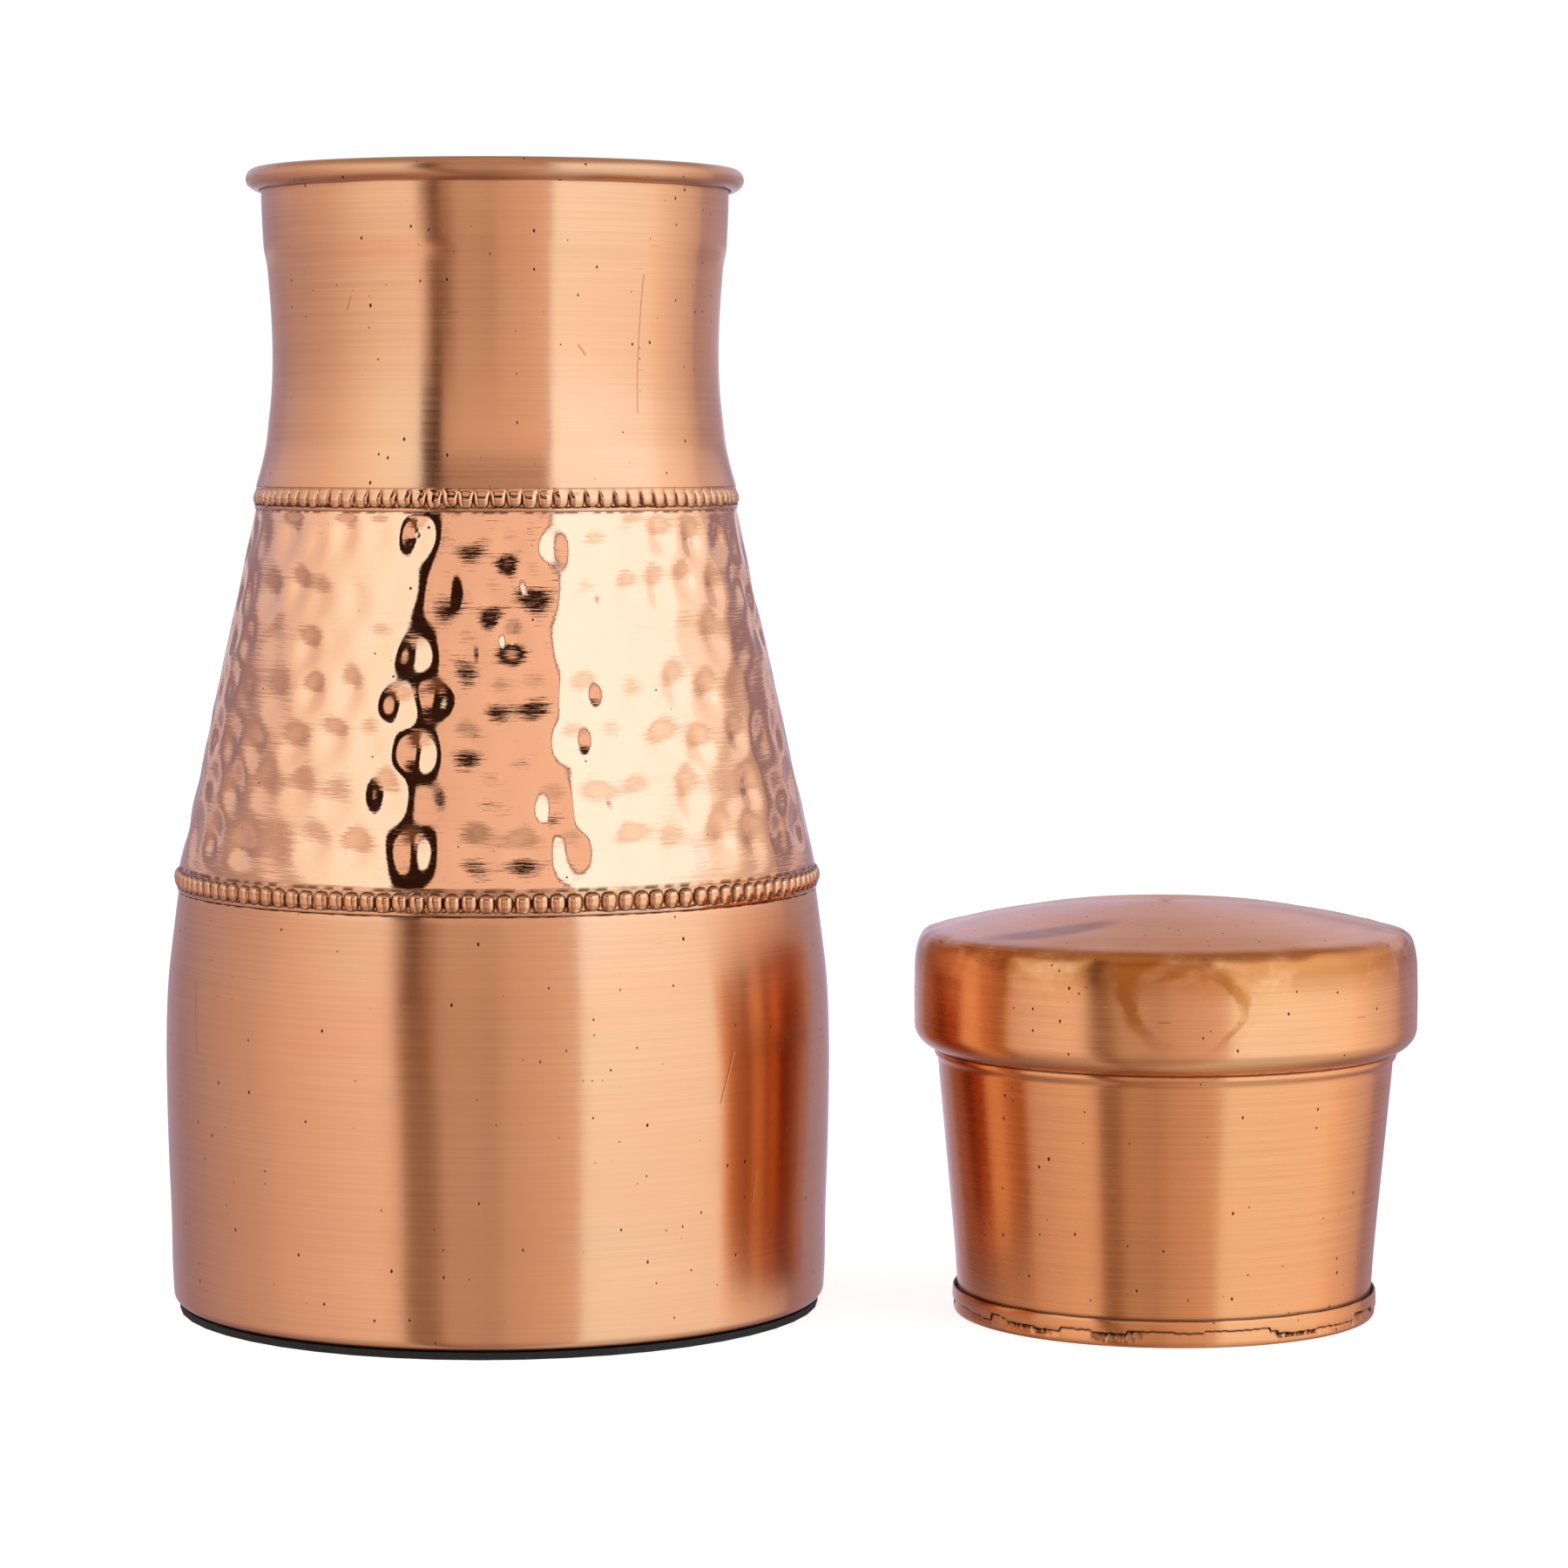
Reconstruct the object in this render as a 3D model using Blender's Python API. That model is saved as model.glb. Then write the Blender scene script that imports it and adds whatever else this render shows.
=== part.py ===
"""Copper water jug whose lid doubles as its drinking cup.

The jug is three turned sheet sections, lapped and soldered one inside the other, with a beaded strip over
each joint, a wired and rolled rim, and a rubber pad under the foot. The lid is a domed cap soldered round a
tapered cup. It stands mouth down beside the jug and lifts straight up.

The frame's origin is at the centre of the jug's foot, on the surface that both stand on. +Z is up and +X
runs towards the lid. Every size below is in millimetres, and outlines are (radius, height) points.
"""

import math

import bmesh
import bpy

MM = 0.001
SIDES = 48
GAP = 0.3
SHEET = 0.6

# Jug
PAD_RADIUS = 60.3
PAD_HEIGHT = 1.3
FOOT_RADIUS = 61.4
FOOT_CORNER = 1.8
FOOT_FLANGE_WIDTH = 3.0
LOWER_JOINT_HEIGHT = 78.9
LOWER_JOINT_RADIUS = 59.9
LOWER_LAP_STEP = 0.7
BELLY = [(61.75, 17.0), (62.4, 39.5), (62.5, 51.5), (61.9, 62.7), (60.8, 72.0)]
UPPER_JOINT_HEIGHT = 150.0
UPPER_JOINT_RADIUS = 45.0
UPPER_LAP_STEP = 0.6
NECK = [(43.1, 161.2), (42.1, 170.0), (41.7, 178.2), (41.85, 185.7), (42.5, 194.3), (43.3, 198.4), (43.6, 207.6)]
RIM_CENTRE = (44.55, 211.2)
RIM_HALF_WIDTH = 1.85
RIM_HALF_HEIGHT = 2.0
RIM_WIRE_RADIUS = 0.75
LAP_DEPTH = 5.0
BASE_PLATE_RADIUS = 59.7

# Solder fillets: (width, height)
SEAM_SOLDER = (1.0, 1.6)
LOWER_SEAM_RADIUS = 59.9
UPPER_SEAM_RADIUS = 45.3
PLATE_SOLDER = (2.0, 2.0)
PLATE_SOLDER_REACH = 0.4
FLOOR_SOLDER = (1.6, 1.6)
SKIRT_SOLDER = (0.7, 1.0)

# Bead bands: a plain margin below a row of beads, both in the channel of a lap joint
BAND_WIDTH = 4.0
BAND_MARGIN = 0.5
BAND_DEPTH = 0.8
BEAD_SWELL = 0.6
LOWER_BEADS = 120
UPPER_BEADS = 90

# Lid and cup, measured from the cup's own mouth
LID_AXIS = (125.1, -10.4)
MOUTH_RADIUS = 38.2
MOUTH_HEIGHT = 0.8
CUP_TAPER = 0.087
CUP_HEIGHT = 61.7
CUP_FLOOR_HEIGHT = 57.7
SKIRT_RADIUS = 46.88
SKIRT_BOTTOM = 49.6
SKIRT_TURN = (3.8, 4.3)
SKIRT_SHOULDER = [(46.88, 62.6), (46.6, 67.6), (46.1, 69.6), (45.4, 70.9)]
DOME_EDGE_RADIUS = 44.9
DOME_EDGE_HEIGHT = 71.5
DOME_RISE = 5.9
DOME_STEPS = 5
SEAT_WIDTH = 3.0
HEM_RADIUS = 39.6
HEM_HEIGHT = 5.0
HEM_SHEET = 0.5
HEM_INNER_HEIGHT = 3.6


def clear_scene():
    """Remove whatever the scene holds, so that the model starts empty."""
    for item in list(bpy.data.objects):
        bpy.data.objects.remove(item, do_unlink=True)


def surface(name, color, roughness, metallic):
    """A plain Principled material."""
    material = bpy.data.materials.new(name)
    material.use_nodes = True
    shader = material.node_tree.nodes["Principled BSDF"]
    shader.inputs["Base Color"].default_value = (*color, 1.0)
    shader.inputs["Roughness"].default_value = roughness
    shader.inputs["Metallic"].default_value = metallic
    material.diffuse_color = (*color, 1.0)
    return material


def frame_empty(name, x, y):
    """An empty on a turned body's axis, at the height of the standing surface."""
    empty = bpy.data.objects.new(name, None)
    empty.location = (x * MM, y * MM, 0.0)
    bpy.context.collection.objects.link(empty)
    return empty


def arc(centre, half_width, half_height, start, end, steps):
    """Points along an ellipse's arc, from start to end degrees."""
    points = []
    for step in range(steps + 1):
        angle = math.radians(start + (end - start) * step / steps)
        points.append((centre[0] + half_width * math.cos(angle), centre[1] + half_height * math.sin(angle)))
    return points


def unit_normal(a, b):
    """The left-hand normal of the straight run from a to b."""
    run = (b[0] - a[0], b[1] - a[1])
    length = math.hypot(*run)
    return (-run[1] / length, run[0] / length)


def left_of(points, distance):
    """The line that runs beside the given one, at a distance to its left, with mitred corners."""
    beside = []
    for index, point in enumerate(points):
        before = unit_normal(points[max(index - 1, 0)], points[max(index, 1)])
        after = unit_normal(points[min(index, len(points) - 2)], points[min(index + 1, len(points) - 1)])
        mitre = (before[0] + after[0], before[1] + after[1])
        scale = 2.0 * distance / (mitre[0] ** 2 + mitre[1] ** 2)
        beside.append((point[0] + mitre[0] * scale, point[1] + mitre[1] * scale))
    return beside


def sheet(line, thickness=SHEET):
    """The closed outline of a sheet whose outer face is the line and whose body lies to the line's left."""
    return line + left_of(line, thickness)[::-1]


def turn_outline(outline, sides):
    """Turn an outline about the Z axis. An outline that starts and ends on the axis is left open there."""
    mesh = bmesh.new()
    verts = [mesh.verts.new((radius * MM, 0.0, height * MM)) for radius, height in outline]
    edges = [mesh.edges.new(pair) for pair in zip(verts, verts[1:])]
    if outline[0][0] > 0.0:
        edges.append(mesh.edges.new((verts[-1], verts[0])))
    bmesh.ops.spin(mesh, geom=verts + edges, cent=(0, 0, 0), axis=(0, 0, 1), angle=math.tau, steps=sides,
                   use_merge=True)
    bmesh.ops.remove_doubles(mesh, verts=mesh.verts, dist=1e-6)
    bmesh.ops.recalc_face_normals(mesh, faces=mesh.faces)
    return mesh


def add_piece(name, mesh, material, frame):
    """Make a named object from a bmesh, shade it smooth and stand it on its body's frame."""
    data = bpy.data.meshes.new(name)
    mesh.to_mesh(data)
    mesh.free()
    data.materials.append(material)
    data.shade_smooth()
    data.set_sharp_from_angle(angle=math.radians(35.0))
    piece = bpy.data.objects.new(name, data)
    piece.parent = frame
    bpy.context.collection.objects.link(piece)
    return piece


def turned(name, outline, material, frame):
    """A plain turned piece."""
    return add_piece(name, turn_outline(outline, SIDES), material, frame)


def beaded(name, inner_radius, bottom, beads, material, frame):
    """A beaded strip: every bead is one ridge of the outer face, with a valley on each side."""
    margin_radius = inner_radius + BAND_DEPTH
    bead_bottom = bottom + BAND_MARGIN
    top = bottom + BAND_WIDTH
    outline = [(inner_radius, bottom), (margin_radius, bottom), (margin_radius, bead_bottom),
               (margin_radius + BEAD_SWELL, (bead_bottom + top) / 2.0), (margin_radius, top), (inner_radius, top)]
    mesh = turn_outline(outline, 2 * beads)
    for vert in mesh.verts:
        radius = math.hypot(vert.co.x, vert.co.y)
        place = round(math.atan2(vert.co.y, vert.co.x) / math.tau * 2 * beads)
        if place % 2 and radius > (margin_radius + GAP) * MM:
            vert.co.xy *= margin_radius * MM / radius
    return add_piece(name, mesh, material, frame)


def solder_ring(name, size, outer_radius, bottom, material, frame):
    """A fillet of solder: a triangular ring, upright on its outer side and flat below."""
    width, height = size
    outline = [(outer_radius - width, bottom), (outer_radius, bottom), (outer_radius, bottom + height)]
    return turned(name, outline, material, frame)


def make_foot(copper, solder, rubber, frame):
    """The pad, the bottom plate and the solder that seals it."""
    turned("base_pad", [(0.0, 0.0), (PAD_RADIUS, 0.0), (PAD_RADIUS, PAD_HEIGHT), (0.0, PAD_HEIGHT)], rubber, frame)
    plate_bottom = PAD_HEIGHT + SHEET + 2 * GAP
    plate_top = plate_bottom + SHEET
    plate = [(0.0, plate_bottom), (BASE_PLATE_RADIUS, plate_bottom), (BASE_PLATE_RADIUS, plate_top), (0.0, plate_top)]
    turned("base_plate", plate, copper, frame)
    solder_radius = BASE_PLATE_RADIUS + PLATE_SOLDER_REACH
    solder_ring("base_solder", PLATE_SOLDER, solder_radius, plate_top + GAP, solder, frame)


def make_base_shell(copper, frame):
    """The lower section: a flange turned in over the pad, a rounded foot and the belly."""
    corner_centre = (FOOT_RADIUS - FOOT_CORNER, PAD_HEIGHT + GAP + FOOT_CORNER)
    corner = arc(corner_centre, FOOT_CORNER, FOOT_CORNER, -90.0, 0.0, 3)
    flange_end = (corner_centre[0] - FOOT_FLANGE_WIDTH, PAD_HEIGHT + GAP)
    line = [flange_end] + corner + BELLY + [(LOWER_JOINT_RADIUS, LOWER_JOINT_HEIGHT)]
    turned("base_shell", sheet(line), copper, frame)


def lap_radius(joint_radius):
    """Outer radius of the upper section's lap, which slips inside the section below."""
    return joint_radius - SHEET - GAP


def lap_line(joint_radius, joint_height, step):
    """Outer line of a lap: a straight tube behind the bead band, then a step out to the visible section."""
    lap = lap_radius(joint_radius)
    band_top = joint_height + GAP + BAND_WIDTH
    return [(lap, joint_height - LAP_DEPTH), (lap, band_top), (lap + step, band_top + step)]


def make_hammered_shell(copper, frame):
    """The middle section: a lap inside the base shell, then a straight cone up to the neck."""
    line = lap_line(LOWER_JOINT_RADIUS, LOWER_JOINT_HEIGHT, LOWER_LAP_STEP)
    line.append((UPPER_JOINT_RADIUS, UPPER_JOINT_HEIGHT))
    turned("hammered_shell", sheet(line), copper, frame)


def make_neck(copper, wire, frame):
    """The top section: a lap, the waisted neck, and the edge rolled outwards round a wire."""
    line = lap_line(UPPER_JOINT_RADIUS, UPPER_JOINT_HEIGHT, UPPER_LAP_STEP)
    line += NECK
    line += arc(RIM_CENTRE, RIM_HALF_WIDTH - SHEET, RIM_HALF_HEIGHT - SHEET, 180.0, -90.0, 7)
    turned("neck_shell", sheet(line), copper, frame)
    wire_outline = arc(RIM_CENTRE, RIM_WIRE_RADIUS, RIM_WIRE_RADIUS, 0.0, 360.0, 6)[:-1]
    turned("rim_wire", wire_outline, wire, frame)


def make_joint(name, joint_radius, joint_height, seam_radius, beads, copper, solder, frame):
    """The beaded strip over a lap joint, and the solder under the lap's lower edge inside."""
    band_inner_radius = lap_radius(joint_radius) + GAP
    beaded(name + "_bead_band", band_inner_radius, joint_height + GAP, beads, copper, frame)
    seam_bottom = joint_height - LAP_DEPTH - GAP - SEAM_SOLDER[1]
    solder_ring(name + "_seam_solder", SEAM_SOLDER, seam_radius, seam_bottom, solder, frame)


def make_cup(copper, solder, frame):
    """The drinking cup, standing mouth down: tapered wall, floor, and a folded strip round the mouth."""
    def wall_radius(height):
        return MOUTH_RADIUS + CUP_TAPER * (height - MOUTH_HEIGHT)

    wall = [(wall_radius(height), height) for height in (MOUTH_HEIGHT, SKIRT_BOTTOM, CUP_HEIGHT)]
    turned("cup_wall", sheet(wall), copper, frame)
    floor_radius = wall_radius(CUP_FLOOR_HEIGHT) - SHEET - GAP
    floor_top = CUP_FLOOR_HEIGHT + SHEET
    floor = [(0.0, CUP_FLOOR_HEIGHT), (floor_radius, CUP_FLOOR_HEIGHT), (floor_radius, floor_top), (0.0, floor_top)]
    turned("cup_floor", floor, copper, frame)
    solder_ring("floor_solder", FLOOR_SOLDER, floor_radius, floor_top + GAP, solder, frame)

    inner_radius = MOUTH_RADIUS - SHEET - GAP - HEM_SHEET
    hem = [(inner_radius, HEM_INNER_HEIGHT), (inner_radius, 0.0), (HEM_RADIUS - HEM_SHEET, 0.0),
           (HEM_RADIUS, HEM_SHEET), (HEM_RADIUS, HEM_HEIGHT)]
    turned("cup_mouth_band", sheet(hem, HEM_SHEET), copper, frame)


def make_cap(copper, solder, frame):
    """The lid round the cup: skirt with its lower edge turned in, dome, and the solder that joins skirt to cup."""
    turn_centre = (SKIRT_RADIUS - SKIRT_TURN[0], SKIRT_BOTTOM + SKIRT_TURN[1])
    line = arc(turn_centre, *SKIRT_TURN, -90.0, 0.0, 4)
    line += SKIRT_SHOULDER
    seat_height = DOME_EDGE_HEIGHT - SHEET - 2.0 * GAP
    line += [(DOME_EDGE_RADIUS, seat_height), (DOME_EDGE_RADIUS - SEAT_WIDTH, seat_height)]
    turned("lid_skirt", sheet(line), copper, frame)

    edge_slope = 2.0 * DOME_RISE / DOME_EDGE_RADIUS
    dome = []
    for step in range(DOME_STEPS + 1):
        radius = DOME_EDGE_RADIUS * (1.0 - step / DOME_STEPS)
        drop = (radius / DOME_EDGE_RADIUS) ** 2 * DOME_RISE
        dome.append((radius, DOME_EDGE_HEIGHT + DOME_RISE - drop))
    underside = [(radius, height - SHEET * math.hypot(1.0, edge_slope)) for radius, height in reversed(dome)]
    turned("lid_dome", dome[::-1] + underside[::-1], copper, frame)

    inner_radius = MOUTH_RADIUS + CUP_TAPER * (SKIRT_BOTTOM - MOUTH_HEIGHT) + GAP
    top = SKIRT_BOTTOM - GAP
    width, height = SKIRT_SOLDER
    fillet = [(inner_radius, top), (inner_radius, top - height), (inner_radius + width, top)]
    turned("skirt_solder", fillet, solder, frame)


def main():
    clear_scene()
    satin = surface("satin_copper", (0.80, 0.42, 0.24), 0.32, 1.0)
    polished = surface("polished_copper", (0.86, 0.48, 0.28), 0.10, 1.0)
    solder = surface("solder", (0.60, 0.50, 0.40), 0.45, 1.0)
    steel = surface("wire_steel", (0.55, 0.56, 0.57), 0.35, 1.0)
    rubber = surface("black_rubber", (0.02, 0.02, 0.02), 0.70, 0.0)
    jug = frame_empty("jug_frame", 0.0, 0.0)
    lid = frame_empty("lid_frame", *LID_AXIS)

    make_foot(satin, solder, rubber, jug)
    make_base_shell(satin, jug)
    make_joint("lower", LOWER_JOINT_RADIUS, LOWER_JOINT_HEIGHT, LOWER_SEAM_RADIUS, LOWER_BEADS, satin, solder, jug)
    make_hammered_shell(polished, jug)
    make_joint("upper", UPPER_JOINT_RADIUS, UPPER_JOINT_HEIGHT, UPPER_SEAM_RADIUS, UPPER_BEADS, satin, solder, jug)
    make_neck(satin, steel, jug)
    make_cup(satin, solder, lid)
    make_cap(satin, solder, lid)


main()
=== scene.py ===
"""The looks of the copper water jug and its lid that doubles as a cup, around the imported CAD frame.

The jug's visible sections, the bead bands, the lid and the cup are turned again here as fine sheets, with the
hammer marks, the beads and the hand-worked edges in their shape. The pieces inside keep their CAD meshes.
Outlines are (radius, height) points in millimetres, measured from each body's own axis and the floor.
"""

import math

import bmesh
import bpy
import numpy as np
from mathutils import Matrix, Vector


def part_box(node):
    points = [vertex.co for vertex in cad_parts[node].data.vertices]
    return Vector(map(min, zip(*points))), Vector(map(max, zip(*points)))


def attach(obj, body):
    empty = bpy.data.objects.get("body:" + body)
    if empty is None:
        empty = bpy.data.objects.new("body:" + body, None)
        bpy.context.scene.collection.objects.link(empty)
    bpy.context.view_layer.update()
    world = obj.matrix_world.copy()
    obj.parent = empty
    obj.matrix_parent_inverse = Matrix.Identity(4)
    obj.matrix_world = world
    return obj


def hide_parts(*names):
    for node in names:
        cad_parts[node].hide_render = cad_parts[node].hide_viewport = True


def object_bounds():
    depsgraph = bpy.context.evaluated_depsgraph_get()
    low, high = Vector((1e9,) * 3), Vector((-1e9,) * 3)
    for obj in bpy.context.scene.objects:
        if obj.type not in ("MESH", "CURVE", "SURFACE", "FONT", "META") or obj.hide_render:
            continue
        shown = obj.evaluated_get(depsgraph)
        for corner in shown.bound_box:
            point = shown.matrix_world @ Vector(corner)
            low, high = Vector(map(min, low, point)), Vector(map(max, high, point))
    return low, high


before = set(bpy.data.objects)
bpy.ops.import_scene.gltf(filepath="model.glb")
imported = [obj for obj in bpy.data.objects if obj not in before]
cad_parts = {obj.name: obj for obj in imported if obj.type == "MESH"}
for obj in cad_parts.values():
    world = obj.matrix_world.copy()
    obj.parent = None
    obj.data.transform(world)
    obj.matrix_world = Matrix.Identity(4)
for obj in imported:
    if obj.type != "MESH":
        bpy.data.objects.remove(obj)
cad_low, cad_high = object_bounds()
skirt_low, skirt_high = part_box("lid_skirt")
LID_AXIS = ((skirt_low.x + skirt_high.x) / 2.0, (skirt_low.y + skirt_high.y) / 2.0)

MM = 0.001
SHEET = 0.6
SHARP_ANGLE = math.radians(50.0)

# Sections of the jug
FOOT_CENTRE = (59.6, 3.4)
FOOT_CORNER = 1.8
FOOT_LEDGE = 3.0
BELLY = [(61.45, 4.2), (61.62, 8.0), (61.75, 17.0), (62.12, 28.0), (62.38, 39.5), (62.44, 49.5), (61.9, 62.7),
         (60.8, 72.0), (59.9, 78.9)]
LOWER_JOINT = (59.9, 78.9)
UPPER_JOINT = (45.0, 150.0)
CONE = [(59.7, 83.55), (45.0, 150.0)]
CONE_STEP = (CONE[0][0] - 0.04, CONE[0][1] - 0.32)
NECK = [(44.92, 154.35), (43.95, 157.7), (43.15, 161.2), (42.5, 166.2), (42.0, 170.7), (41.8, 173.7), (41.68, 178.2),
        (41.85, 185.7), (42.25, 191.7), (42.6, 195.6), (43.1, 198.1), (43.3, 201.0), (43.5, 205.5), (43.58, 208.9)]
RIM_CENTRE = (44.55, 211.2)
RIM_HALF_WIDTH = 1.85
RIM_HALF_HEIGHT = 1.98
UNDER_RIM = [(43.6, 209.2), (43.68, 209.55), (43.85, 209.32), (44.3, 209.22), (45.0, 209.3), (45.6, 209.62)]
RIM_TARNISH = 0.17
INSIDE_RIM = [(42.75, 209.9), (42.9, 207.7), (42.45, 198.5)]
LAP_DEPTH = 5.0
LAP_GAP = 0.3
BAND_WIDTH = 4.0
BAND_DEPTH = 0.8
BAND_MARGIN = 0.4

# Beads. Each has its own random rise as a share of the usual one, shift as a share of half a bead, drop as a share
# of the strip, and rise of its lower end in mm
LOWER_BEADS = 120
UPPER_BEADS = 98
BEAD_ROWS = 17
BEAD_RISE = 0.6
BEAD_GAP_DEPTH = 0.5
BEAD_SWELL = (0.88, 1.04)
BEAD_SHIFT = (-0.08, 0.08)
BEAD_DROP = (-0.03, 0.03)
BEAD_END_LIFT = (-0.2, 0.08)
# Across a bead runs from -1 to 1, and up the strip from 0 to 1
PILLOW_HALF_WIDTH = 0.93
PILLOW_MIDDLE = 0.46
PILLOW_HALF_HEIGHT = 0.45
PILLOW_SQUARENESS = 2.7
TONGUE_HALF_WIDTH = 0.95
TONGUE_MIDDLE = 0.5
TONGUE_END = 0.47
TONGUE_SQUARENESS = 3.0
TONGUE_RISE = 0.75

# Hammer marks, in staggered rows whose pitch leaves a part of a row spare. Each row has a random turn as a share of
# the spacing. Each mark has its own turn, lift in mm, size as shares of half the spacing and half the pitch, and
# depth as a share of the usual one, with odds for each share
MARK_ROWS = 7
MARK_SPARE_ROWS = 0.35
MARK_FIRST_ROW = 0.75
MARKS_PER_ROW = 37
MARK_ROW_TURN = (0.38, 0.62)
MARK_TURN = (-0.2, 0.2)
MARK_LIFT = (-1.7, 1.7)
MARK_WIDTH = (0.92, 1.22)
MARK_HEIGHT = (1.05, 1.45)
MARK_DEPTH = 0.53
MARK_BLOWS = [0.45, 0.8, 1.0, 1.25]
MARK_BLOW_ODDS = [0.15, 0.25, 0.35, 0.25]
# How fast a mark's floor rises: the weights of its reach squared and to the fourth power, and the reach it ends at
MARK_RISE = (2.4, 0.9)
MARK_END = 1.7
# The slight waves between the marks, and how near the cone's ends the marks and waves fade out, in mm
CONE_WAVES = (0.035, 0.03)
CONE_PLAIN_END = 1.5

# Lid and cup
SKIRT_TURN = [(43.0, 49.8), (43.7, 50.1), (44.8, 50.7), (45.7, 51.5), (46.35, 52.4), (46.72, 53.4), (46.82, 54.3)]
SKIRT_SIDE = [(46.82, 54.3), (46.82, 62.6), (46.55, 67.6), (46.15, 69.4), (45.6, 70.6), (45.0, 71.2)]
SKIRT_TOP = [(44.2, 70.6), (42.0, 70.6)]
DOME_PIP = [(0.0, 77.32), (0.6, 77.26), (1.0, 77.05), (1.5, 77.18)]
DOME = [(2.2, 77.22), (8.0, 77.1), (15.9, 76.75), (21.9, 76.2), (29.5, 74.95), (36.0, 73.75), (41.2, 72.5),
        (43.4, 72.0), (44.7, 71.5), (45.2, 71.0)]
DOME_INSIDE = 0.985
CUP_WALL = [(38.2, 0.8), (38.65, 5.2), (39.05, 11.0), (39.65, 18.0), (40.3, 25.0), (40.95, 32.0), (41.6, 39.0),
            (42.15, 45.0), (42.3, 46.9)]
CUP_LIP = [(42.3, 46.9), (42.42, 47.8), (42.8, 48.35), (43.05, 48.85), (42.95, 49.45), (42.7, 49.8)]
CUP_TOP = [(42.55, 50.1), (43.4, 61.5)]
HEM_OUTER = 39.58
HEM_INNER = 39.2
HEM_TOP = 4.95
HEM_INSIDE = [(36.85, 3.6), (36.85, 0.6), (37.05, 0.18), (37.55, 0.0)]
HEM_ROLL = [(38.6, 0.0), (39.05, 0.2), (39.3, 0.6), (HEM_INNER + 0.15, 1.2)]
HEM_TEAR = [(HEM_INNER + 0.02, 1.1), (HEM_INNER, 1.45), (HEM_INNER - 0.05, 1.86), (HEM_OUTER - 0.08, 1.94),
            (HEM_OUTER, 2.1)]
HEM_SIDE = [(HEM_OUTER, 3.4), (HEM_OUTER - 0.05, 4.2), (HEM_OUTER - 0.1, HEM_TOP - 0.15), (HEM_OUTER - 0.2, HEM_TOP)]
HEM_ROUND_WALL = [(39.1, HEM_TOP - 0.1), (38.95, 3.0), (38.6, 0.65), (37.45, 0.65), (37.4, 3.6)]
# The hem's torn edge: its height in HEM_TEAR, then the random height in mm and length in radians of its level runs
TEAR_LEVEL = 1.9
TEAR_HEIGHT = (1.9, 3.3)
TEAR_RUN = (0.03, 0.22)
# The crease and the flats below it: their height, how far up and down they reach and how far they stray, in mm. Both
# are outside the given radius
CREASE_HEIGHT = 71.1
CREASE_REACH = 1.3
CREASE_RISE = 0.25
CREASE_BULGE = 0.10
FLATS_HEIGHT = CREASE_HEIGHT - 5.0
FLATS_REACH = 4.0
FLATS_BULGE = 0.06
WORKED_RADIUS = 38.0
# The dent in the dome's left front: its angle from +X, its radius, its size both ways, and its depth
DENT_ANGLE = math.radians(-142.0)
DENT_RADIUS = 30.0
DENT_REACH = 9.0
DENT_HALF_ANGLE = 0.42
DENT_DEPTH = 0.55
DOME_FOOT = 70.5

# Points round each turned piece, and points in each bead
BASE_SIDES = 360
CONE_SIDES = 560
NECK_SIDES = 288
LOWER_BEAD_POINTS = 16
UPPER_BEAD_POINTS = 18
LID_SIDES = 400
CUP_SIDES = 360
HEM_SIDES = 720

# Finishes
COPPER = (0.82, 0.45, 0.25)
LID_COPPER = (0.83, 0.385, 0.17)
SKIRT_COPPER = (0.87, 0.44, 0.21)
HAMMERED_COPPER = (0.86, 0.51, 0.31)
BEAD_COPPER = (0.74, 0.40, 0.22)
WARM_TONE = (0.98, 0.91, 0.88)
WORN_TONE = (0.40, 0.25, 0.18)
# Dark colour of dirt, pits and joints, also used for the shade painted in creases, gaps and under edges
GRIME_AND_SHADE = (0.07, 0.025, 0.014, 1.0)
TINT = (0.50, 0.17, 0.03, 1.0)
# Colour of the shade painted in the dome's dent
DENT_SHADE = (0.42, 0.19, 0.11, 1.0)
# Patterns in brushed and polished copper: cells in each metre along X, Y and Z
STREAKS = (20.0, 20.0, 2400.0)
BANDS = (6.0, 6.0, 260.0)
TURNING_LINES = (120.0, 120.0, 1700.0)
# Small marks: how their cells are stretched, the cells in each metre, and the largest mark's reach in metres
PITS = ((1.0, 1.0, 0.65), 640.0, 0.00030)
HAIRS = ((1.0, 1.0, 0.035), 250.0, 0.00012)
CUTS = ((0.07, 0.07, 1.0), 400.0, 0.00022)
POLISHED_PITS = ((1.0, 1.0, 1.0), 320.0, 0.00036)
POLISHED_HAIRS = ((1.0, 1.0, 0.04), 200.0, 0.00009)
# Heights on the lid in mm between which a stain comes or goes
TINT_COMES = (61.5, 70.0)
TINT_GOES = (71.6, 72.6)
ARCS_GO = (70.3, 71.2)
# Curved stains on the skirt: (degrees round, height) of an ellipse's middle, its half width in degrees, its half
# height, the line's width as a share of them, and the side of the ellipse that shows
STAIN_ARCS = [(1.5, 63.0, 15.0, 10.5, 0.24, -1.0), (0.0, 60.5, 12.0, 8.0, 0.16, 1.0)]
# How much wider each ellipse is at its top, as a share
ARC_TAPER = 0.4
# The shade painted in the dome's dent: degrees round, height, half width in degrees, and slope in mm for each degree
DENT_SHADE_PLACE = (-41.0, 73.9, 18.0, 0.09)
# Long scratches on the jug: (degrees round, height) of both ends, and the width in degrees
JUG_SCRATCHES = [((42.5, 192.7), (40.5, 167.7), 0.28), ((24.0, 180.0), (26.0, 178.0), 0.5),
                 ((-35.0, 188.7), (-36.5, 186.2), 0.4), ((51.0, 25.0), (52.0, 31.0), 0.2),
                 ((46.0, 53.0), (43.0, 44.0), 0.22), ((-60.0, 64.0), (-58.5, 51.0), 0.2)]

rng = np.random.default_rng(7)


# ---------------------------------------------------------------- shapes

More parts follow.
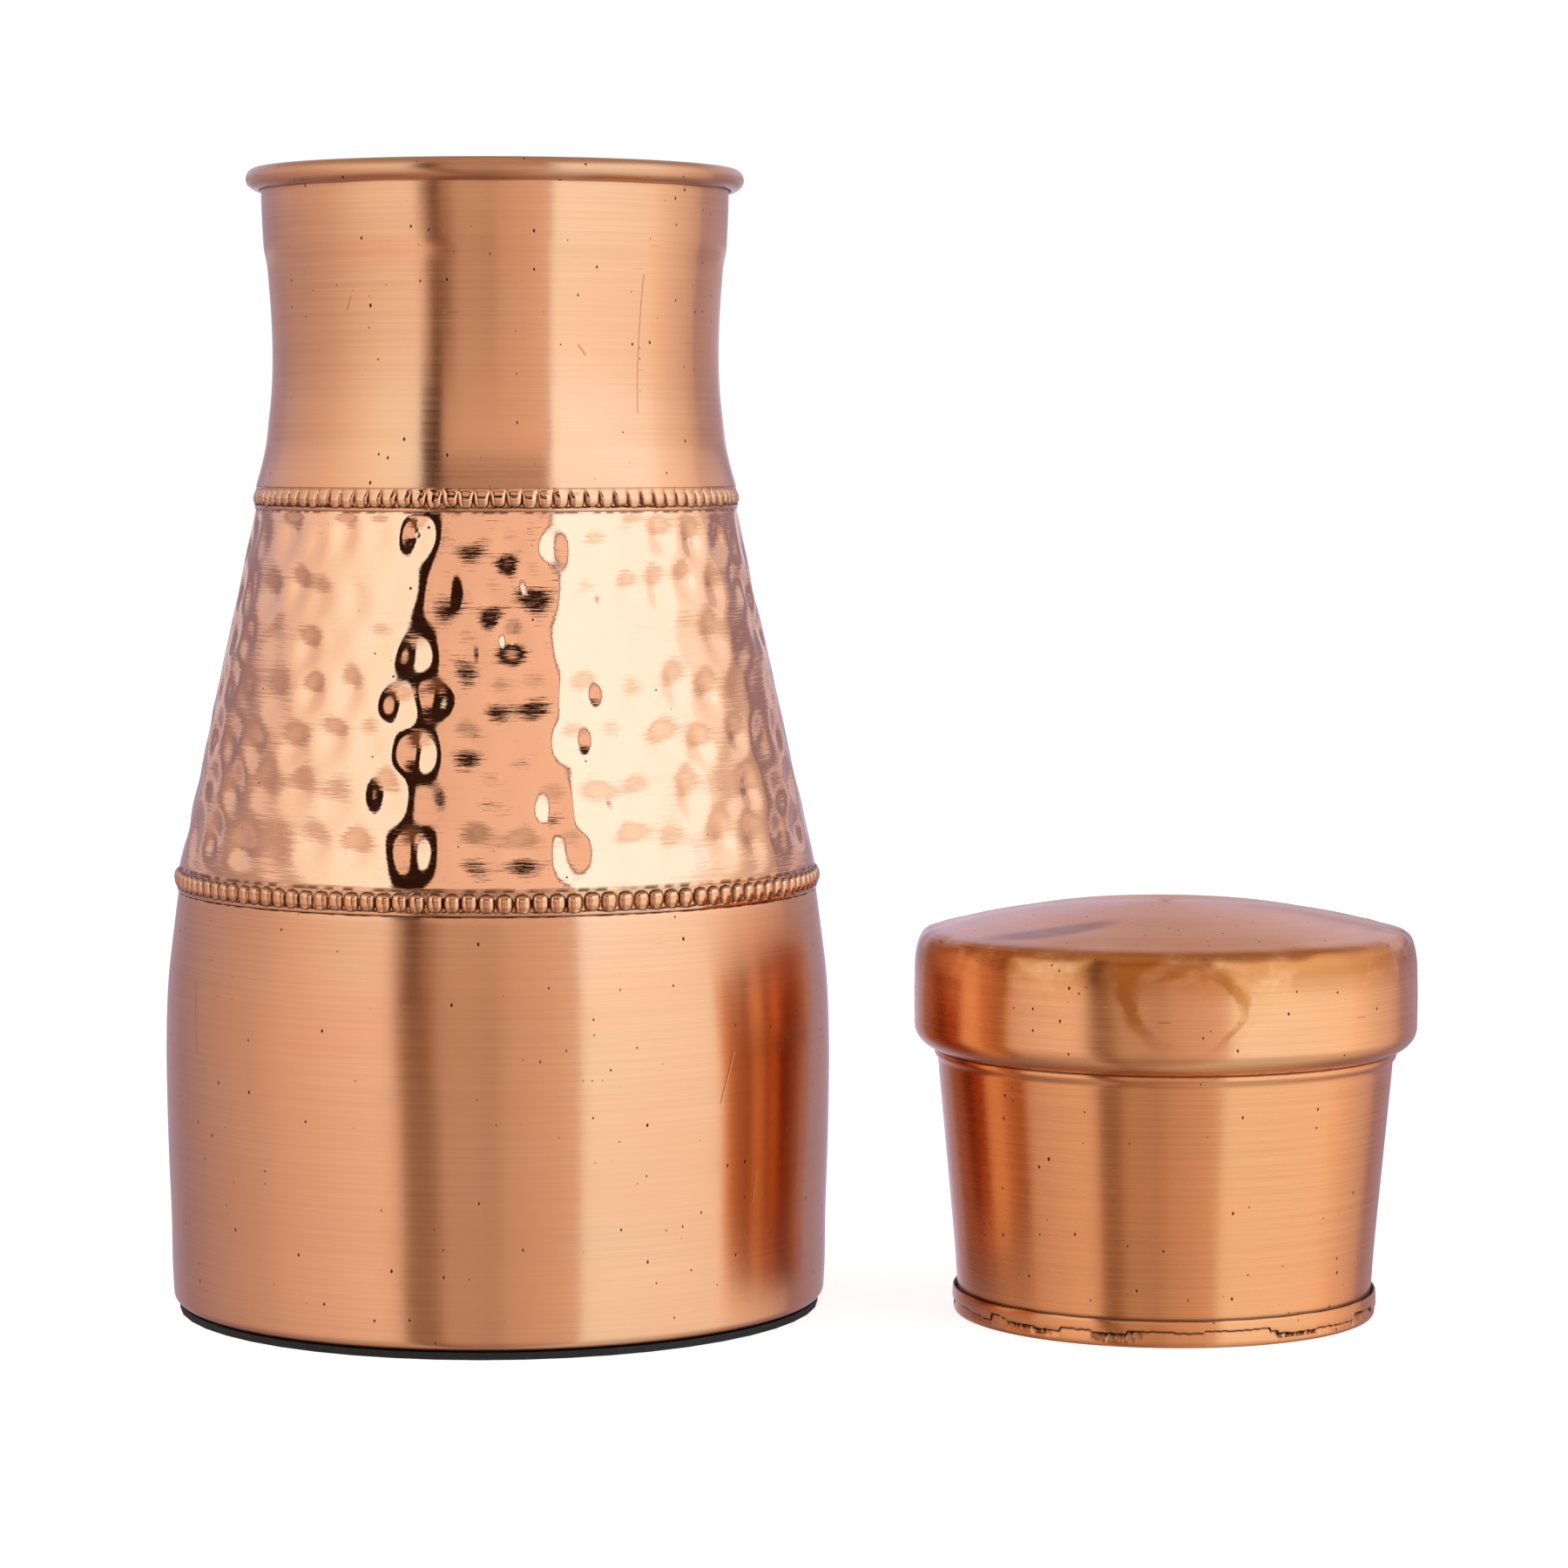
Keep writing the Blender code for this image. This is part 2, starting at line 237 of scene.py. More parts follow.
def smooth(points, step):
    """Points about step mm apart on a smooth curve through the given ones."""
    points = np.array(points, float)
    place = np.concatenate(([0.0], np.cumsum(np.hypot(*np.diff(points, axis=0).T))))
    slope = np.gradient(points, place, axis=0)
    count = max(2, round(place[-1] / step) + 1)
    line = []
    for at in np.linspace(0.0, place[-1], count):
        k = min(np.searchsorted(place, at, side="right") - 1, len(place) - 2)
        run = place[k + 1] - place[k]
        t = (at - place[k]) / run
        line.append((2 * t**3 - 3 * t**2 + 1) * points[k] + (t**3 - 2 * t**2 + t) * run * slope[k]
                    + (3 * t**2 - 2 * t**3) * points[k + 1] + (t**3 - t**2) * run * slope[k + 1])
    return [tuple(point) for point in line]


def arc(centre, half_width, half_height, start, end, steps):
    """Points along an ellipse's arc, from start to end degrees."""
    turn = np.radians(np.linspace(start, end, steps + 1))
    return list(zip(centre[0] + half_width * np.cos(turn), centre[1] + half_height * np.sin(turn)))


def sheet(line):
    """The closed outline of a sheet whose outer face is the line and whose body lies to the line's left."""
    line = np.array(line, float)
    run = np.diff(line, axis=0)
    normal = np.stack((-run[:, 1], run[:, 0]), axis=1) / np.hypot(*run.T)[:, None]
    mitre = np.concatenate((normal[:1], normal)) + np.concatenate((normal, normal[-1:]))
    beside = line + mitre * (2.0 * SHEET / (mitre**2).sum(axis=1))[:, None]
    return np.concatenate((line, beside[::-1]))


def turned(name, outline, sides, material, body, nodes, shape=None, axis=(0.0, 0.0)):
    """A piece turned about its body's axis. shape changes the radii and heights of its grid of points, and gives the
    grime and painted shade on them, from 0 for clean metal to 1."""
    outline = np.array(outline, float)
    angle = np.arange(sides) * math.tau / sides
    radius = np.repeat(outline[:, :1], sides, axis=1)
    height = np.repeat(outline[:, 1:], sides, axis=1)
    grime_and_shade = np.zeros_like(radius)
    if shape:
        radius, height, grime_and_shade = shape(radius, height, grime_and_shade, angle)
    points = np.stack((radius * np.cos(angle), radius * np.sin(angle), height), axis=-1).reshape(-1, 3) * MM
    points += (*axis, 0.0)
    row = np.arange(len(outline))[:, None] * sides
    after = np.roll(np.arange(len(outline)), -1)[:, None] * sides
    here = np.arange(sides)[None, :]
    there = np.roll(np.arange(sides), -1)[None, :]
    faces = np.stack((row + here, row + there, after + there, after + here), axis=-1)
    if outline[0, 0] == 0.0:
        faces = faces[:-1]
    data = bpy.data.meshes.new(name)
    data.from_pydata(points.tolist(), [], faces.reshape(-1, 4).tolist())
    data.attributes.new("grime_and_shade", "FLOAT", "POINT").data.foreach_set("value", grime_and_shade.ravel())
    if outline[0, 0] == 0.0:
        close_poles(data, axis)
    data.shade_smooth()
    data.set_sharp_from_angle(angle=SHARP_ANGLE)
    data.materials.append(material)
    piece = bpy.data.objects.new(name, data)
    bpy.context.collection.objects.link(piece)
    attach(piece, body)
    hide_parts(*nodes)
    return piece


def close_poles(data, axis):
    """Merge each ring of points that lies on the axis into one."""
    mesh = bmesh.new()
    mesh.from_mesh(data)
    poles = [vert for vert in mesh.verts if math.hypot(vert.co.x - axis[0], vert.co.y - axis[1]) < 1e-7]
    bmesh.ops.remove_doubles(mesh, verts=poles, dist=1e-6)
    mesh.to_mesh(data)
    mesh.free()


def lap_line(joint):
    """The straight tube that an upper section slips into the one below, up to the top of the bead band."""
    lap = joint[0] - SHEET - LAP_GAP
    return [(lap, joint[1] - LAP_DEPTH), (lap, joint[1] + LAP_GAP + BAND_WIDTH)]


def wander(angle, waves, seed):
    """A smooth uneven line round a piece, about -1 to 1: a sum of waves with random phases."""
    draw = np.random.default_rng(seed)
    total = np.zeros_like(angle)
    for wave in waves:
        total = total + draw.uniform(0.5, 1.0) * np.sin(wave * angle + draw.uniform(0.0, math.tau))
    return total / math.sqrt(len(waves))


def broken(angle, seed):
    """A broken line round a piece: 1 where it shows and 0 where it doesn't, with soft ends."""
    return np.clip(0.6 + 1.4 * wander(angle, (23, 41, 67, 89, 113), seed), 0.0, 1.0)


def make_base_shell(material):
    corner = arc(FOOT_CENTRE, FOOT_CORNER, FOOT_CORNER, start=-90.0, end=0.0, steps=8)
    belly = smooth(BELLY, step=1.6)
    top = belly[-1]
    line = [(corner[0][0] - FOOT_LEDGE, corner[0][1])] + corner + belly[:-1]
    line += [(top[0] + 0.02, top[1] - 0.25), (top[0] - 0.03, top[1] - 0.08), (top[0] - 0.15, top[1])]
    edge = len(line) - 1

    def shape(radius, height, grime_and_shade, angle):
        grime_and_shade[edge - 1:edge + 2] = broken(angle, seed=11)
        return radius, height, grime_and_shade

    turned("base_shell_fine", sheet(line), BASE_SIDES, material, "jug", ["base_shell"], shape)


def hammer_marks():
    """(height, angle, half width, half height, depth) of every hammer mark, in staggered rows round the cone."""
    marks = []
    pitch = (CONE[1][1] - CONE[0][1]) / (MARK_ROWS + MARK_SPARE_ROWS)
    spacing = math.tau / MARKS_PER_ROW
    shift = 0.0
    for row in range(MARK_ROWS):
        level = CONE[0][1] + (row + MARK_FIRST_ROW) * pitch
        radius = np.interp(level, [CONE[0][1], CONE[1][1]], [CONE[0][0], CONE[1][0]])
        shift += rng.uniform(*MARK_ROW_TURN)
        for place in range(MARKS_PER_ROW):
            angle = (place + shift + rng.uniform(*MARK_TURN)) * spacing
            height = level + rng.uniform(*MARK_LIFT)
            half_width = 0.5 * spacing * radius * rng.uniform(*MARK_WIDTH)
            half_height = 0.5 * pitch * rng.uniform(*MARK_HEIGHT)
            depth = MARK_DEPTH * rng.choice(MARK_BLOWS, p=MARK_BLOW_ODDS)
            marks.append((height, angle, half_width, half_height, depth))
    return marks


def dented(radius, height, angle):
    """Sink the hammer marks into the cone's outer face, which waves slightly between them."""
    sunk = np.zeros_like(radius)
    for level, turn, half_width, half_height, depth in hammer_marks():
        near = np.abs(height[:, 0] - level) < half_height * MARK_END
        across = (angle - turn + math.pi) % math.tau - math.pi
        reach = (across[None, :] * radius[near] / half_width)**2
        reach = reach + ((height[near] - level) / half_height)**2
        sunk[near] += depth * np.exp(-MARK_RISE[0] * reach - MARK_RISE[1] * reach**2)
    wave = CONE_WAVES[0] * np.sin(19 * angle + 0.11 * height) * np.sin(0.35 * height + 2.0 * np.sin(5 * angle))
    wave += (CONE_WAVES[1] * np.sin(31 * angle - 0.21 * height + 1.3)
             * np.sin(0.62 * height + 1.7 * np.sin(7 * angle + 0.8)))
    from_foot = np.clip((height - CONE[0][1]) / CONE_PLAIN_END, 0.0, 1.0)
    from_top = np.clip((CONE[1][1] - height) / CONE_PLAIN_END, 0.0, 1.0)
    radius -= (sunk + wave) * (from_foot * from_top)


def make_hammered_shell(material):
    outer = smooth(CONE, step=0.52)
    line = lap_line(LOWER_JOINT) + [CONE_STEP] + outer
    first = len(line) - len(outer)
    inner = sheet(lap_line(LOWER_JOINT) + smooth([CONE_STEP, CONE[1]], step=3.0))
    outline = np.concatenate((line, inner[len(inner) // 2:]))

    def shape(radius, height, grime_and_shade, angle):
        dented(radius[first:len(line)], height[first:len(line)], angle)
        grime_and_shade[first - 1:first + 1] = 0.8 * broken(angle, seed=12)
        grime_and_shade[len(line) - 1] = 0.9 * broken(angle, seed=13)
        return radius, height, grime_and_shade

    turned("hammered_shell_fine", outline, CONE_SIDES, material, "jug", ["hammered_shell"], shape)


def make_neck(material):
    roll = arc(RIM_CENTRE, RIM_HALF_WIDTH, RIM_HALF_HEIGHT, start=-35.0, end=180.0, steps=16)
    line = lap_line(UPPER_JOINT) + smooth(NECK, step=0.9)
    crease = len(line)
    line += UNDER_RIM + roll + INSIDE_RIM
    outline = line + [(radius - SHEET, height) for radius, height in reversed(smooth(NECK[:-3], step=4.0))]
    lap = line[0][0] - SHEET
    outline += [(lap, line[1][1] - LAP_GAP), (lap, line[0][1])]

    def shape(radius, height, grime_and_shade, angle):
        # Painted shade in the crease under the rim's roll
        grime_and_shade[crease] = 0.5
        grime_and_shade[crease + 1:crease + 3] = 1.0
        grime_and_shade[crease + 3:crease + len(UNDER_RIM) + len(roll)] = RIM_TARNISH
        radius[crease + 2:crease + 6] += 0.05 * wander(angle, (5, 9, 16, 29), seed=14)
        height[crease:crease + 6] += 0.12 * wander(angle, (4, 7, 11, 18), seed=24)
        return radius, height, grime_and_shade

    turned("neck_shell_fine", outline, NECK_SIDES, material, "jug", ["neck_shell", "rim_wire"], shape)


def make_bead_band(name, joint, beads, bead_points, face, top_radius, material):
    """A beaded strip: a plain margin, then a row of beads whose rise over the strip, and the shade painted in the
    gaps between them, are given by face(across, up).
    """
    inner = joint[0] - SHEET
    margin = inner + BAND_DEPTH
    valley = margin - BEAD_GAP_DEPTH
    edge = 0.1
    bottom = joint[1] + edge
    low = joint[1] + LAP_GAP + BAND_MARGIN
    high = joint[1] + LAP_GAP + BAND_WIDTH
    up = np.linspace(0.0, 1.0, BEAD_ROWS)[:, None]
    strip = np.interp(up[:, 0], [0.0, 0.1, 0.85, 1.0], [margin, valley, valley, top_radius])
    line = [(inner, bottom), (margin - edge, bottom), (margin, bottom + edge), (margin, low - 0.12)]
    first = len(line)
    line += list(zip(strip, low + (high - low) * up[:, 0]))
    line += [(inner, high)]
    swell = rng.uniform(*BEAD_SWELL, beads)
    shift = rng.uniform(*BEAD_SHIFT, beads)
    drop = rng.uniform(*BEAD_DROP, beads)
    ragged = rng.uniform(*BEAD_END_LIFT, beads)

    def shape(radius, height, grime_and_shade, angle):
        place = angle * beads / math.tau
        bead = place.astype(int) % beads
        across = place % 1.0 * 2.0 - 1.0 + shift[bead]
        rise, gap_shade = face(across[None, :], up + drop[bead])
        radius[first:first + BEAD_ROWS] += (BEAD_RISE + BEAD_GAP_DEPTH) * swell[bead] * rise
        height[first:first + 3] += ragged[bead] * (1.0 - across**2) * np.array([1.0, 0.8, 0.4])[:, None]
        # Painted shade in the gaps between the beads
        grime_and_shade[first:first + BEAD_ROWS] = gap_shade
        grime_and_shade[:2] = 0.7 * broken(angle, seed=15)
        return radius, height, grime_and_shade

    turned(name + "_fine", line, beads * bead_points, material, "jug", [name], shape)


def superellipse(across, up, power):
    """How far out a point is: 1 on a rounded rectangle that is squarer for a higher power."""
    return (np.abs(across)**power + np.abs(up)**power)**(1.0 / power)


def pillow_bead(across, up):
    """Rise of a rounded square pillow a little below the top of the strip, and the shade painted round its outline.
    """
    reach = superellipse(across / PILLOW_HALF_WIDTH, (up - PILLOW_MIDDLE) / PILLOW_HALF_HEIGHT, PILLOW_SQUARENESS)
    rise = np.sqrt(np.clip(1.0 - reach**2.3, 0.0, 1.0))
    return rise, np.clip(1.3 - np.abs(reach - 1.0) / 0.1, 0.0, 1.0)


def tongue_bead(across, up):
    """Rise of a tongue that is round at its lower end and fades into the neck above, and the shade painted round it.
    """
    below = np.clip((TONGUE_MIDDLE - up) / TONGUE_END, 0.0, None)
    reach = superellipse(across / TONGUE_HALF_WIDTH, below, TONGUE_SQUARENESS)
    fall = np.clip((up - 0.35) / 0.6, 0.0, 1.0)
    rise = TONGUE_RISE * np.sqrt(np.clip(1.0 - reach**2.8, 0.0, 1.0)) * (1.0 - fall**1.5)
    gap_shade = np.clip(1.3 - np.abs(reach - 0.99) / 0.12, 0.0, 1.0) * (1.0 - np.clip((up - 0.6) / 0.25, 0.0, 1.0))
    # The painted shade is heavier on each bead's left side
    return rise, gap_shade * np.where(across < 0.0, 1.0, 0.35 + 0.65 * (up < 0.2))


def hand_worked(radius, height, grime_and_shade, angle):
    """The uneven crease where the dome is closed over the skirt, the slight flats below it and the dome's dent."""
    outside = radius > WORKED_RADIUS
    crease = np.exp(-((height - CREASE_HEIGHT) / CREASE_REACH)**2) * outside
    height = height + CREASE_RISE * crease * wander(angle, (3, 5, 8, 13, 19, 27), seed=3)
    radius = radius + CREASE_BULGE * crease * wander(angle, (4, 7, 11, 17, 23, 31, 40), seed=4)
    flats = np.exp(-((height - FLATS_HEIGHT) / FLATS_REACH)**2) * outside
    radius = radius + FLATS_BULGE * flats * wander(angle, (5, 9, 14, 22), seed=5)
    across = (angle - DENT_ANGLE + math.pi) % math.tau - math.pi
    dent = np.exp(-((radius - DENT_RADIUS) / DENT_REACH)**2 - (across / DENT_HALF_ANGLE)**2) * (height > DOME_FOOT)
    height = height - DENT_DEPTH * dent
    return radius, height, grime_and_shade


def make_lid(skirt_material, cup_material, axis):
    skirt = smooth(SKIRT_TURN, step=0.4) + smooth(SKIRT_SIDE, step=0.8)[1:] + SKIRT_TOP
    crease = len(skirt) - 3

    def skirt_shape(radius, height, grime_and_shade, angle):
        radius, height, grime_and_shade = hand_worked(radius, height, grime_and_shade, angle)
        # Painted shade along the skirt's lower edge, where it curls over the cup's lip
        grime_and_shade[0] = 0.7
        grime_and_shade[1:3] = 0.5 * np.clip(2.0 * wander(angle, (37, 61, 89, 131), seed=21) - 0.9, 0.0, 1.0)
        grime_and_shade[crease] = 0.5 * np.clip(2.5 * wander(angle, (5, 13, 31, 53, 87), seed=16) - 1.6, 0.0, 1.0)
        return radius, height, grime_and_shade

    turned("lid_skirt_fine", sheet(skirt), LID_SIDES, skirt_material, "lid_cup", ["lid_skirt"],
           skirt_shape, axis)
    top = DOME_PIP + smooth(DOME, step=1.1)
    under = [(radius * DOME_INSIDE, height - SHEET) for radius, height in top]
    turned("lid_dome_fine", under + top[::-1], LID_SIDES, skirt_material, "lid_cup", ["lid_dome"],
           hand_worked, axis)
    wall = smooth(CUP_WALL, step=1.2) + smooth(CUP_LIP, step=0.35)[1:]
    lip_top = len(wall) - 1

    def wall_shape(radius, height, grime_and_shade, angle):
        # Painted shade on the lip's top under the skirt, and on the wall where it goes under the hem
        grime_and_shade[lip_top:lip_top + 2] = 1.0
        grime_and_shade[:6] = 0.9 * np.clip((HEM_TOP + 0.1 - height[:6]) / 0.6, 0.0, 1.0)
        return radius, height, grime_and_shade

    turned("cup_wall_fine", sheet(wall + CUP_TOP), CUP_SIDES, cup_material, "lid_cup", ["cup_wall", "skirt_solder"],
           wall_shape, axis)
    make_hem(cup_material, axis)


def ragged_edge(angle):
    """Height of the hem's torn edge: level runs of random length, with small teeth."""
    edge = np.zeros_like(angle)
    at = 0.0
    while at < math.tau:
        run = rng.uniform(*TEAR_RUN)
        inside = (angle >= at) & (angle < at + run)
        edge[inside] = rng.uniform(*TEAR_HEIGHT)
        at += run
    return edge + 0.07 * wander(angle, (60, 97, 131, 170), seed=6)


def make_hem(material, axis):
    """The strip folded over the cup's mouth. Its outer layer ends in a torn edge above the rolled mouth."""
    first = len(HEM_INSIDE + HEM_ROLL)
    top = first + len(HEM_TEAR + HEM_SIDE) - 1

    def shape(radius, height, grime_and_shade, angle):
        height[first:first + len(HEM_TEAR)] += ragged_edge(angle) - TEAR_LEVEL
        pitted = np.clip(2.4 * wander(angle, (5, 9, 14), seed=8) - 0.1, 0.0, 1.0)
        pits = pitted * np.clip(0.9 + wander(angle, (95, 143, 201, 277), seed=18), 0.0, 1.0)
        radius[first:first + 2] -= 0.3 * pits
        grime_and_shade[first] = 0.4 * pits
        grime_and_shade[first + 1] = pits
        # Painted shade in the recess under the torn edge, and where the hem's top meets the cup's wall
        grime_and_shade[first + 2] = 1.0
        grime_and_shade[first + 3] = 0.6
        grime_and_shade[top] = 0.5
        grime_and_shade[top + 1] = 1.0
        height[top - 2:top + 2] += 0.06 * wander(angle, (6, 17, 31), seed=9)
        nicks = np.clip(3.0 * wander(angle, (83, 127, 171), seed=19) - 3.0, 0.0, 1.0)
        height[top - 1:top + 1] -= 0.15 * nicks
        return radius, height, grime_and_shade

    turned("cup_mouth_band_fine", HEM_INSIDE + HEM_ROLL + HEM_TEAR + HEM_SIDE + HEM_ROUND_WALL, HEM_SIDES, material,
           "lid_cup", ["cup_mouth_band"], shape, axis)


# ---------------------------------------------------------------- materials

class Graph:
    """Short calls for building one node tree."""

    def __init__(self, tree):
        self.tree = tree

    def feed(self, socket, value):
        if isinstance(value, bpy.types.NodeSocket):
            self.tree.links.new(value, socket)
        else:
            socket.default_value = value

    def node(self, kind, inputs, **settings):
        made = self.tree.nodes.new(kind)
        for key, value in settings.items():
            setattr(made, key, value)
        for key, value in inputs.items():
            self.feed(made.inputs[key], value)
        return made

    def math(self, operation, *values):
        made = self.node("ShaderNodeMath", {}, operation=operation)
        for socket, value in zip(made.inputs, values):
            self.feed(socket, value)
        return made.outputs[0]

    def plus(self, a, b):
        return self.math("ADD", a, b)

    def minus(self, a, b):
        return self.math("SUBTRACT", a, b)

    def times(self, a, b):
        return self.math("MULTIPLY", a, b)

    def over(self, a, b):
        return self.math("DIVIDE", a, b)

    def larger(self, a, b):
        return self.math("MAXIMUM", a, b)

    def absolute(self, value):
        return self.math("ABSOLUTE", value)

    def distance(self, x, y):
        return self.math("SQRT", self.plus(self.times(x, x), self.times(y, y)))

    def fade(self, value, start, end, low=0.0, high=1.0):
        """low below start, high above end, and a smooth change between."""
        return self.node("ShaderNodeMapRange", {"Value": value, "From Min": start, "From Max": end, "To Min": low,
                                                "To Max": high}, interpolation_type="SMOOTHSTEP").outputs[0]

    def window(self, value, rise, fall, high=1.0):
        """0 below rise, high from there to fall and 0 above it. rise and fall are the starts and ends of fades."""
        return self.times(self.fade(value, *rise, 0.0, high), self.fade(value, *fall, 1.0, 0.0))

    def share(self, value, start, end):
        """0 at start, 1 at end and a straight change between."""
        return self.node("ShaderNodeMapRange", {"Value": value, "From Min": start, "From Max": end}).outputs[0]

    def blend(self, factor, a, b):
        """Colour a where factor is 0 and b where it is 1."""
        made = self.node("ShaderNodeMix", {}, data_type="RGBA")
        self.feed(made.inputs[0], factor)
        self.feed(made.inputs[6], a)
        self.feed(made.inputs[7], b)
        return made.outputs[2]

    def place(self):
        return self.node("ShaderNodeTexCoord", {}).outputs["Object"]

    def stretched(self, vector, scale):
        return self.node("ShaderNodeVectorMath", {0: vector, 1: scale}, operation="MULTIPLY").outputs[0]

    def noise(self, vector, scale, detail=2.0, roughness=0.5):
        return self.node("ShaderNodeTexNoise", {"Vector": vector, "Scale": scale, "Detail": detail,
                                                "Roughness": roughness}).outputs[0]


def material(name):
    """A new material, the graph of its nodes and its Principled shader."""
    made = bpy.data.materials.new(name)
    made.use_nodes = True
    return made, Graph(made.node_tree), made.node_tree.nodes["Principled BSDF"]


def toned(color, tone):
    """An opaque colour whose channels are multiplied by those of tone."""
    return (*[channel * share for channel, share in zip(color, tone)], 1.0)


def spots(graph, place, stretch, cells_per_metre, reach):
    """Scattered spots with a random size each, which reach up to the given distance in metres from their middles."""
    cells = graph.node("ShaderNodeTexVoronoi", {"Vector": graph.stretched(place, stretch), "Scale": cells_per_metre})
    random = graph.node("ShaderNodeSeparateColor", {0: cells.outputs["Color"]}).outputs[0]
    largest = reach * cells_per_metre
    inside = graph.minus(graph.times(graph.math("POWER", random, 3.0), largest), cells.outputs["Distance"])
    return graph.fade(inside, 0.0, largest * 0.3)


def add_grime_and_shade(graph, shader, base, roughness):
    """Darken and roughen the metal where the piece's points carry dirt and dark joints, and where shade is painted.
    """
    grime_and_shade = graph.node("ShaderNodeAttribute", {}, attribute_name="grime_and_shade").outputs["Fac"]
    graph.feed(shader.inputs["Base Color"], graph.blend(grime_and_shade, base, GRIME_AND_SHADE))
    graph.feed(shader.inputs["Roughness"], graph.plus(roughness, graph.times(grime_and_shade, 0.4)))
    shader.inputs["Metallic"].default_value = 1.0


def add_bump(graph, shader, height, strength, distance=0.0001):
    bump = graph.node("ShaderNodeBump", {"Height": height, "Strength": strength, "Distance": distance})
    graph.feed(shader.inputs["Normal"], bump.outputs[0])


def scratch(graph, turn, height, start, end, width):
    """A hairline from start to end, each (degrees round from the front, height in mm)."""
    along = graph.share(height, start[1], end[1])
    line = graph.plus(graph.times(along, end[0] - start[0]), start[0])
    off = graph.absolute(graph.minus(turn, line))
    low, high = sorted((start[1], end[1]))
    inside = graph.window(height, (low - 0.2, low + 0.2), (high - 0.2, high + 0.2))
    return graph.times(inside, graph.fade(off, width * 0.4, width, 1.0, 0.0))


def round_place(graph, place):
    """Degrees round the axis, from the front towards +X, and the height in mm."""
    axes = graph.node("ShaderNodeSeparateXYZ", {0: place}).outputs
    turn = graph.math("ARCTAN2", axes[0], graph.times(axes[1], -1.0))
    return graph.times(turn, 180.0 / math.pi), graph.times(axes[2], 1.0 / MM)


def copper(name, color, roughness, anisotropy, wear, brushing, axis=(0.0, 0.0), stains_and_shade=None, scratches=()):
    """Brushed copper: fine streaks that run round the piece, small pits, hairline scratches and changes of tone."""
    made, graph, shader = material(name)
    place = graph.node("ShaderNodeVectorMath", {0: graph.place(), 1: (*axis, 0.0)}, operation="SUBTRACT").outputs[0]
    turn, height = round_place(graph, place)
    streaks = graph.noise(graph.stretched(place, STREAKS), 1.0, 4.0, 0.6)
    bands = graph.noise(graph.stretched(place, BANDS), 1.0, 3.0, 0.5)
    cloud = graph.noise(graph.stretched(place, (1.0, 1.0, 1.6)), 40.0, 3.0)
    base = graph.blend(graph.fade(streaks, 0.32, 0.68), toned(color, [1.0 - brushing] * 3), (*color, 1.0))
    base = graph.blend(graph.fade(cloud, 0.35, 0.7, 0.0, 0.6), base, toned(color, WARM_TONE))
    if stains_and_shade:
        base = stains_and_shade(graph, place, turn, height, base)
    pits = spots(graph, place, *PITS)
    worn = graph.times(graph.larger(spots(graph, place, *HAIRS), spots(graph, place, *CUTS)), wear)
    for start, end, width in scratches:
        worn = graph.larger(worn, graph.times(scratch(graph, turn, height, start, end, width), 0.45))
    base = graph.blend(worn, base, toned(color, WORN_TONE))
    base = graph.blend(pits, base, GRIME_AND_SHADE)
    grain = graph.plus(graph.times(streaks, 0.6), graph.times(bands, 0.4))
    add_grime_and_shade(graph, shader, base, graph.fade(grain, 0.3, 0.7, roughness * 0.85, roughness * 1.15))
    shader.inputs["Anisotropic"].default_value = anisotropy
    shader.inputs["Anisotropic Rotation"].default_value = 0.25
    tangent = graph.node("ShaderNodeTangent", {}, direction_type="RADIAL", axis="Z").outputs[0]
    graph.feed(shader.inputs["Tangent"], tangent)
    grooves = graph.minus(graph.times(streaks, brushing * 2.0), graph.larger(pits, worn))
    add_bump(graph, shader, grooves, strength=0.6)
    return made


def skirt_stains_and_dent_shade(graph, place, turn, height, base):
    """Heat tint that the soldering left under the crease, curved marks on the skirt, and painted shade in the dome's
    dent.
    """
    blotch = graph.noise(graph.stretched(place, (1.0, 1.0, 1.4)), 70.0, 4.0, 0.6)
    tint = graph.times(graph.fade(height, *TINT_COMES), graph.fade(blotch, 0.32, 0.54))
    tint = graph.times(tint, graph.fade(height, *TINT_GOES, 1.0, 0.0))
    base = graph.blend(graph.times(tint, 0.8), base, TINT)
    below_crease = graph.fade(height, *ARCS_GO, 1.0, 0.0)
    for middle, level, half_width, half_height, thickness, shown in STAIN_ARCS:
        up = graph.over(graph.minus(height, level), half_height)
        taper = graph.plus(graph.times(up, ARC_TAPER * half_width), half_width)
        across = graph.over(graph.minus(turn, middle), taper)
        wobble = graph.plus(graph.distance(across, up), graph.times(graph.minus(blotch, 0.5), 0.9))
        ring = graph.absolute(graph.minus(wobble, 1.0))
        mark = graph.times(graph.fade(ring, thickness * 0.3, thickness, 1.0, 0.0), graph.fade(up, -0.9, -0.2))
        mark = graph.times(mark, below_crease)
        side = graph.fade(graph.times(across, shown), -0.5, -0.2, 0.1, 1.0)
        mark = graph.times(graph.times(mark, side), graph.fade(blotch, 0.36, 0.56, 0.2, 0.85))
        base = graph.blend(mark, base, TINT)
    # Painted shade in the dome's dent, darkening the base colour
    middle, level, half_width, slope = DENT_SHADE_PLACE
    across = graph.minus(turn, middle)
    up = graph.minus(graph.minus(height, level), graph.times(across, slope))
    reach = graph.distance(graph.over(across, half_width), up)
    return graph.blend(graph.fade(reach, 0.5, 1.2, 0.85, 0.0), base, DENT_SHADE)


